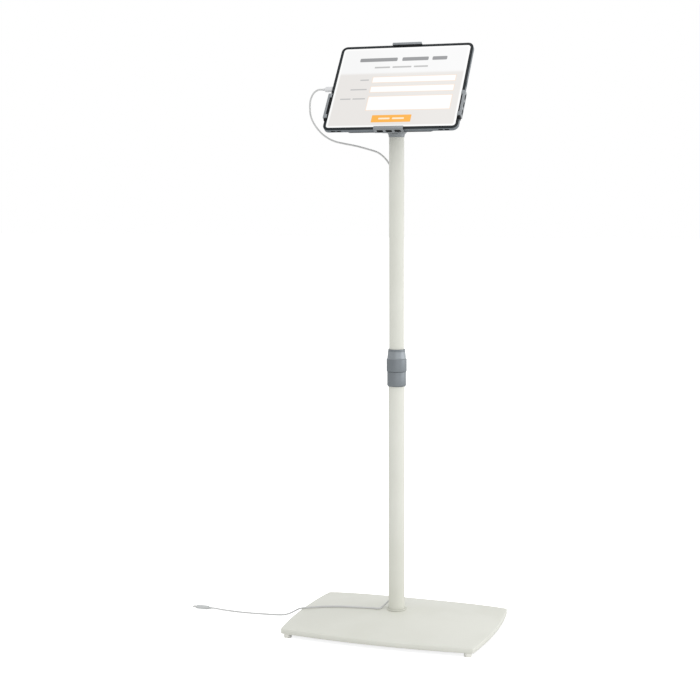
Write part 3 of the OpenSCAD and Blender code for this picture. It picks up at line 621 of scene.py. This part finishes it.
# moulded grips: mm along the grip, half width, half thickness and corner of each section
grips = {
    "sides": 48,
    "shade": 60,
    "tabletPort": (-136.85, 3.75, 98.25),  # in the head frame
    "floorEnd": (-410, -7.5, 3.4),
    "tablet_plug": [
        (0.1, 4.9, 2.4, 1.9), (0.3, 5.25, 2.75, 2.1), (0.9, 5.5, 3.0, 2.28),
        (8.0, 5.5, 3.0, 2.28), (14.2, 5.5, 3.0, 2.28), (15.3, 5.35, 2.95, 2.4),
        (15.9, 4.9, 2.8, 2.5), (16.1, 4.2, 2.7, 2.6), (16.3, 3.0, 2.65, 2.6),
        (17.4, 2.75, 2.75, 2.7), (17.6, 2.5, 2.5, 2.45), (18.2, 2.5, 2.5, 2.45),
        (18.4, 2.7, 2.7, 2.65), (19.4, 2.6, 2.6, 2.55), (19.6, 2.3, 2.3, 2.25),
        (20.2, 2.3, 2.3, 2.25), (20.4, 2.5, 2.5, 2.45), (21.4, 2.4, 2.4, 2.35),
        (21.6, 2.1, 2.1, 2.05), (22.7, 2.15, 2.15, 2.1), (23.1, 1.95, 1.95, 1.9),
    ],
    "floor_plug_relief": [
        (0.0, 1.95, 1.95, 1.9), (0.3, 2.15, 2.15, 2.1), (1.3, 2.25, 2.25, 2.2),
        (1.5, 2.05, 2.05, 2.0), (2.0, 2.05, 2.05, 2.0), (2.2, 2.4, 2.4, 2.35),
        (3.2, 2.5, 2.5, 2.45), (3.4, 2.25, 2.25, 2.2), (3.9, 2.25, 2.25, 2.2),
        (4.1, 2.6, 2.6, 2.55), (5.1, 2.7, 2.7, 2.65), (5.3, 2.45, 2.45, 2.4),
        (5.8, 2.5, 2.5, 2.45), (6.0, 2.8, 2.8, 2.75), (7.0, 2.9, 2.9, 2.85),
    ],
    "floor_plug_body": [
        (7.0, 4.6, 2.3, 1.9), (7.2, 5.2, 2.75, 2.1), (7.7, 5.7, 3.05, 2.3),
        (8.6, 6.0, 3.2, 2.43), (20.0, 6.0, 3.2, 2.43), (32.9, 6.0, 3.2, 2.43),
        (33.6, 5.75, 3.05, 2.35), (33.9, 5.4, 2.75, 2.2), (34.0, 5.0, 2.4, 2.0),
    ],
}


def tabletPlugSpot(along, wide, thick):
    x, deep, up = grips["tabletPort"]
    return atHead(x - along, deep + thick, up + wide)


def floorPlugSpot(along, wide, thick):
    x, y, z = grips["floorEnd"]
    return (x - along, y + wide, z + thick)


def makeGrip(name, spotAt, look):
    sides = grips["sides"]
    loops = []
    for along, wide, thick, corner in grips[name]:
        loop = []
        for k in range(sides):
            turn = math.tau * (k + 0.5) / sides
            across, over = math.cos(turn), math.sin(turn)
            w = math.copysign(wide - corner, across) + across * corner
            t = math.copysign(thick - corner, over) + over * corner
            loop.append(Vector(spotAt(along, w, t)) * mm)
        loops.append(loop)
    mesh = skinned(name + "_grip", loops, grips["shade"])
    piece = addPiece(name + "_grip", mesh, look)
    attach(piece, bodyOf[name])
    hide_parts(name)
    return piece


# charging cable: the routes of the solids, in mm
cable = {
    "thick": 3.5,
    "sides": 14,
    "perSpan": 5,
    "shade": 50,
    "firstAcross": (0.7, 0.7, 0.1),
    "upper": [
        (0, 0, 908), (-1, 1, 915), (-3, 3, 921), (-6, 6, 925), (-9, 9, 926), (-13, 13, 926),
        (-17, 17, 926.5), (-20.5, 20, 929), (-24, 22, 934), (-30, 23, 941), (-37, 22, 948),
        (-47, 21, 954.5), (-64, 20, 960), (-90, 20, 967), (-115, 20, 972), (-138, 20, 977.5),
        (-158, 20, 988), (-172, 20, 1001), (-182, 20, 1015), (-188, 20, 1029.5),
        (-189.3, 20, 1044), (-188.3, 19, 1056), (-184.5, 18, 1066), (-178.5, 16, 1073.5),
        (-171.5, 14, 1077.5), atHead(-166.85, 3.75, 98.25), atHead(-159.85, 3.75, 98.25),
    ],
    "lower": [
        (0, 0, 70), (-1, 1, 63), (-3, 3, 57), (-6, 6, 53), (-9, 9, 52), (-12.5, 12.5, 51.6),
        (-16.5, 15.8, 50.6), (-20.3, 16.3, 48.6), (-24, 14.2, 46.4), (-26.2, 9.4, 43.9),
        (-28.6, 3.2, 41.6), (-29.8, -3, 40.5), (-31.5, -9, 39.6), (-37, -13, 39.3),
        (-46, -12.5, 39.1), (-67, -11.5, 38), (-90, -10, 36.5), (-120, -6, 33.5),
        (-160, -3, 28.5), (-190, -2, 23.8), (-204, -1, 21), (-213, 1, 18), (-221, 3, 13.5),
        (-230, 4, 8), (-241, 2, 3.5), (-254, -2, 2), (-285, -7, 2), (-334, -11, 2),
        (-368, -9, 2), (-388, -8, 2.5), (-401, -7.5, 3.4), (-410, -7.5, 3.4),
    ],
    "inside": (84, 896),
    "insideSteps": 60,
    "upperExit": (-10.5, 10.5, 926),
    "lowerExit": (-11.5, 11.5, 52),
    "follows": ((0, 0, 962), (0, 0, 1072)),  # from the mast to the head
    "tipRound": 0.2,
    "floorTipRound": 0.12,
}


def inMetres(point):
    return tuple(round(part * mm, 6) for part in point)


def smoothRoute(points, perSpan):
    spots = [Vector(p) * mm for p in points]
    spots = [spots[0] * 2 - spots[1], *spots, spots[-1] * 2 - spots[-2]]
    line = []
    for a, b, c, d in zip(spots, spots[1:], spots[2:], spots[3:]):
        first = (b - a).length ** 0.5
        second = first + (c - b).length ** 0.5
        third = second + (d - c).length ** 0.5
        for step in range(perSpan):
            t = first + (second - first) * step / perSpan
            part = (t - first) / (second - first)
            ab = a.lerp(b, t / first)
            bc = b.lerp(c, part)
            cd = c.lerp(d, (t - second) / (third - second))
            before = ab.lerp(bc, t / second)
            after = bc.lerp(cd, (t - first) / (third - first))
            line.append(before.lerp(after, part))
    return line + [spots[-2]]


def layTube(name, line):
    sides = cable["sides"]
    radius = cable["thick"] / 2 * mm
    last = len(line) - 1
    across = Vector(cable["firstAcross"])
    turns = [math.tau * k / sides for k in range(sides)]
    rings = []
    for i, spot in enumerate(line):
        ahead = (line[min(i + 1, last)] - line[max(i - 1, 0)]).normalized()
        across = (across - ahead * across.dot(ahead)).normalized()
        over = ahead.cross(across)
        rings.append([spot + (across * math.cos(t) + over * math.sin(t)) * radius for t in turns])
    return addPiece(name, skinned(name, rings, cable["shade"]), "cable")


def lengthOf(line):
    return sum((b - a).length for a, b in zip(line, line[1:]))


def layCable(spec):
    thick = spec["thick"] * mm
    tabletPlug = makeGrip("tablet_plug", tabletPlugSpot, "plug")
    plugTip = softened("plug_tip", spec["tipRound"] * mm, "plugMetal")
    relief = makeGrip("floor_plug_relief", floorPlugSpot, "shadedFloorPlug")
    grip = makeGrip("floor_plug_body", floorPlugSpot, "shadedFloorPlug")
    tip = softened("floor_plug_tip", spec["floorTipRound"] * mm, "plugMetal")
    upLine = smoothRoute(spec["upper"], spec["perSpan"])
    upper = layTube("cable_to_tablet", upLine)
    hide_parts("cable_upper")
    start, end = (inMetres(p) for p in spec["follows"])
    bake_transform(upper)
    inMetres(spec["upperExit"])
    lengthOf(upLine)
    lowLine = smoothRoute(spec["lower"], spec["perSpan"])
    lower = layTube("cable_to_floor", lowLine)
    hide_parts("cable_lower")
    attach(lower, "base")
    inMetres(spec["lowerExit"])
    lengthOf(lowLine)
    bottom, top = (z * mm for z in spec["inside"])
    steps = spec["insideSteps"]
    poleLine = [Vector((0, 0, bottom + (top - bottom) * k / steps)) for k in range(steps + 1)]
    inside = layTube("cable_in_pole", poleLine)
    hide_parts("cable_inside")
    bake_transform(inside)
    lengths = [round(lengthOf(line), 3) for line in (upLine, lowLine)]
    print("cable laid: upper", lengths[0], "m, lower", lengths[1], "m")


layCable(cable)

# crowned cover of the base, in mm
cover = {
    "width": 394.0,
    "depth": 272.0,
    "bowSide": 10.0,
    "bowFront": 13.0,
    "corner": 5.0,
    "bottom": 8.5,
    "edge": 18.0,
    "crown": 20.0,
    "wall": 2.0,
    "round": 1.0,
    "soft": 0.5,
    "hole": 18.3,
    "rings": 22,
    "underRings": 6,
    "edgeSteps": 6,
    "sideSteps": 26,
    "cornerSteps": 10,
    "frontSteps": 34,
    "shade": 50,
}
coverHalfX = cover["width"] / 2 + cover["bowSide"]
coverHalfY = cover["depth"] / 2 + cover["bowFront"]


def bowRadius(chord, bow):
    return (chord ** 2 / 4 + bow ** 2) / (2 * bow)


def coverOutline(inset):
    sideR = bowRadius(cover["depth"], cover["bowSide"])
    frontR = bowRadius(cover["width"], cover["bowFront"])
    sideMid = Vector((coverHalfX - sideR, 0))
    frontMid = Vector((0, coverHalfY - frontR))
    r1 = sideR - cover["corner"]
    r2 = frontR - cover["corner"]
    gap = frontMid - sideMid
    along = (r1 ** 2 - r2 ** 2 + gap.length_squared) / (2 * gap.length)
    e = gap.normalized()
    away = Vector((e.y, -e.x)) * math.sqrt(r1 ** 2 - along ** 2)
    middle = sideMid + e * along
    corner = max((middle + away, middle - away), key=lambda p: p.x + p.y)
    low = math.atan2(corner.y, corner.x - sideMid.x)
    high = math.atan2(corner.y - frontMid.y, corner.x)

    def arc(mid, radius, start, end, steps, first):
        turns = [start + (end - start) * k / steps for k in range(first, steps + 1)]
        return [mid + Vector((math.cos(t), math.sin(t))) * radius for t in turns]

    quarter = arc(sideMid, sideR - inset, 0, low, cover["sideSteps"], 0)
    quarter += arc(corner, cover["corner"] - inset, low, high, cover["cornerSteps"], 1)
    quarter += arc(frontMid, frontR - inset, high, math.pi / 2, cover["frontSteps"], 1)
    n = len(quarter) - 1
    outline = quarter[:n]
    outline += [Vector((-quarter[n - i].x, quarter[n - i].y)) for i in range(n)]
    outline += [-quarter[i] for i in range(n)]
    outline += [Vector((quarter[n - i].x, -quarter[n - i].y)) for i in range(n)]
    return outline


def crownAt(p):
    fall = (1 - (p.x / coverHalfX) ** 2) * (1 - (p.y / coverHalfY) ** 2)
    return cover["edge"] + cover["crown"] * fall


# loops of the crown from the hole to an outline
def crownLoops(outline, count, drop):
    made = []
    for k in range(count + 1):
        row = []
        for p in outline:
            q = (p.normalized() * cover["hole"]).lerp(p, k / count)
            row.append((q.x, q.y, crownAt(q) - drop))
        made.append(row)
    return made


def makeCover():
    r = cover["round"]
    wall = cover["wall"]
    bottom = cover["bottom"]
    edge = cover["edge"]
    loops = crownLoops(coverOutline(r), cover["rings"], 0)
    tops = [spot[2] for spot in loops[-1]]
    for k in range(1, cover["edgeSteps"] + 1):
        fall = k / cover["edgeSteps"]
        turn = math.pi / 2 * fall
        drop = r * (1 - math.cos(turn))
        ring = coverOutline(r * (1 - math.sin(turn)))
        heights = [z * (1 - fall) + edge * fall - drop for z in tops]
        loops.append([(p.x, p.y, z) for p, z in zip(ring, heights)])
    rims = ((0, bottom + cover["soft"]), (cover["soft"], bottom), (wall, bottom))
    for inset, z in rims:
        loops.append([(p.x, p.y, z) for p in coverOutline(inset)])
    loops += crownLoops(coverOutline(wall), cover["underRings"], wall)[::-1]
    loops = [[Vector(p) * mm for p in loop] for loop in loops]
    mesh = skinned("base_shell", loops, cover["shade"], ringed=True)
    piece = addPiece("base_shell", mesh, "offWhite")
    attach(piece, "base")
    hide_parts("base_cover")


makeCover()
print("cover made")

# solids with rounded edges: width of the rounding in mm, finish
roundedSolids = {
    "base_feet": (0.8, "litFootPlastic"),
    "pole_ring": (0.5, "ring"),
    "collar_sleeve": (0.7, "collar"),
    "lock_nut": (0.3, "collar"),
    "lower_tube": (0.2, "offWhite"),
    "upper_tube": (0.2, "offWhite"),
    "lower_grommet": (0.25, "rubber"),
    "upper_grommet": (0.25, "rubber"),
    "foot_screws": (0.25, "steel"),
    "pole_bolt": (0.3, "steel"),
    "bolt_washer": (0.2, "steel"),
    "tilt_yoke": (0.8, "clip"),
    "hinge_bolt": (0.4, "steel"),
    "hinge_nut": (0.4, "steel"),
    "hinge_bracket": (0.7, "holder"),
    "bracket_screws": (0.3, "steel"),
    "back_plate": (0.5, "holder"),
    "arm_housing": (0.5, "holder"),
    "housing_cover": (0.7, "holder"),
    "cover_screws": (0.3, "steel"),
    "arm_lock_screws": (0.5, "blackScrew"),
    "bottom_arm": (0.4, "armUp"),
    "left_arm": (0.4, "arm"),
    "right_arm": (0.4, "arm"),
    "top_arm": (0.4, "armUp"),
    "bottom_clip": (0.5, "clip"),
    "left_clip": (0.5, "clip"),
    "right_clip": (0.5, "clip"),
    "top_clip": (0.5, "clip"),
    "bottom_pad": (0.15, "rubber"),
    "left_pad": (0.15, "rubber"),
    "right_pad": (0.15, "rubber"),
    "top_pad": (0.15, "rubber"),
    "tablet_shell": (0.3, "tablet"),
    "power_button": (0.3, "tablet"),
    "volume_button": (0.3, "tablet"),
}
for name, (width, look) in roundedSolids.items():
    softened(name, width * mm, look)
print("rounded pieces:", len(roundedSolids))

# solids that stay as they are
plainSolids = {
    "ballast_plate": "ballast",
    "pole_spacer": "ballast",
    "pole_insert": "ballast",
    "collet": "innerPlastic",
    "guide_bush": "innerPlastic",
    "friction_washers": "innerPlastic",
    "tablet_screen": "screen",
    "tablet_battery": "battery",
    "tablet_board": "board",
}
for name, look in plainSolids.items():
    mesh = nodes[name].data
    mesh.materials.clear()
    mesh.materials.append(looks[look])
print("plain solids dressed:", len(plainSolids))

# floor, background and light
studio = {
    "floorSize": 60.0,
    "floorTone": (0.88, 0.88, 0.87, 1),
    "floorGlow": 0.8,
    "floorMirror": 0.2,
    "sky": (0.98, 0.99, 1.0, 1),
    "skyLight": 0.77,
    "lamps": [  # name, place, aim, width, height, power
        ("frontLamp", (2.41, -3.44, 0.65), (0, 0, 0.6), 4.6, 1.3, 17),
        ("sideLamp", (4.16, 0.58, 0.9), (0, 0, 0.6), 3.6, 1.8, 36),
        ("rearLamp", (2.41, 3.44, 0.65), (0, 0, 0.6), 3.6, 1.3, 12),
        ("topLamp", (0.6, -1.2, 5.5), (0, 0, 0), 4.0, 4.0, 50),
    ],
}


# rays from the camera, and rays off gloss or through glass
def seenBy(finish):
    rays = finish.put("ShaderNodeLightPath").socket.node.outputs
    kinds = ("Is Camera Ray", "Is Glossy Ray", "Is Transmission Ray")
    camera, glossy, through = (Wire(finish, rays[kind]) for kind in kinds)
    return camera, glossy.most(through)


def makeFloor(spec):
    half = spec["floorSize"] / 2
    corners = [(-half, -half, 0), (half, -half, 0), (half, half, 0), (-half, half, 0)]
    mesh = bpy.data.meshes.new("floor")
    mesh.from_pydata(corners, [], [(0, 1, 2, 3)])
    floor = bpy.data.objects.new("floor", mesh)
    bpy.context.scene.collection.objects.link(floor)
    finish = newFinish("paleFloor")
    matt = finish.put("ShaderNodeBsdfDiffuse", {}, {"Color": spec["floorTone"]})
    camera, mirrored = seenBy(finish)
    seen = matt
    for rays, strength in ((mirrored, spec["floorMirror"]), (camera, spec["floorGlow"])):
        glow = finish.put("ShaderNodeEmission", {}, {"Color": white, "Strength": strength})
        lit = finish.put("ShaderNodeAddShader", {}, {0: matt, 1: glow})
        seen = finish.put("ShaderNodeMixShader", {}, {0: rays, 1: seen, 2: lit})
    finish.put("ShaderNodeOutputMaterial", {}, {"Surface": seen})
    mesh.materials.append(finish.owner)


def makeSky(spec):
    world = bpy.data.worlds.new("studio")
    bpy.context.scene.world = world
    sky = Finish(world)
    plain = sky.put("ShaderNodeBackground", {}, {"Color": white, "Strength": 1.0})
    values = {"Color": spec["sky"], "Strength": spec["skyLight"]}
    soft = sky.put("ShaderNodeBackground", {}, values)
    camera, mirrored = seenBy(sky)
    either = sky.put("ShaderNodeMixShader", {}, {0: camera.most(mirrored), 1: soft, 2: plain})
    sky.put("ShaderNodeOutputWorld", {}, {"Surface": either})


def makeLamp(name, place, aim, width, height, power):
    data = bpy.data.lights.new(name, "AREA")
    data.shape = "RECTANGLE"
    data.size = width
    data.size_y = height
    data.energy = power
    lamp = bpy.data.objects.new(name, data)
    lamp.location = place
    lamp.rotation_euler = (Vector(aim) - Vector(place)).to_track_quat("-Z", "Y").to_euler()
    bpy.context.scene.collection.objects.link(lamp)


makeFloor(studio)
makeSky(studio)
for lamp in studio["lamps"]:
    makeLamp(*lamp)
bpy.context.scene.view_settings.view_transform = "Standard"
print("studio made")
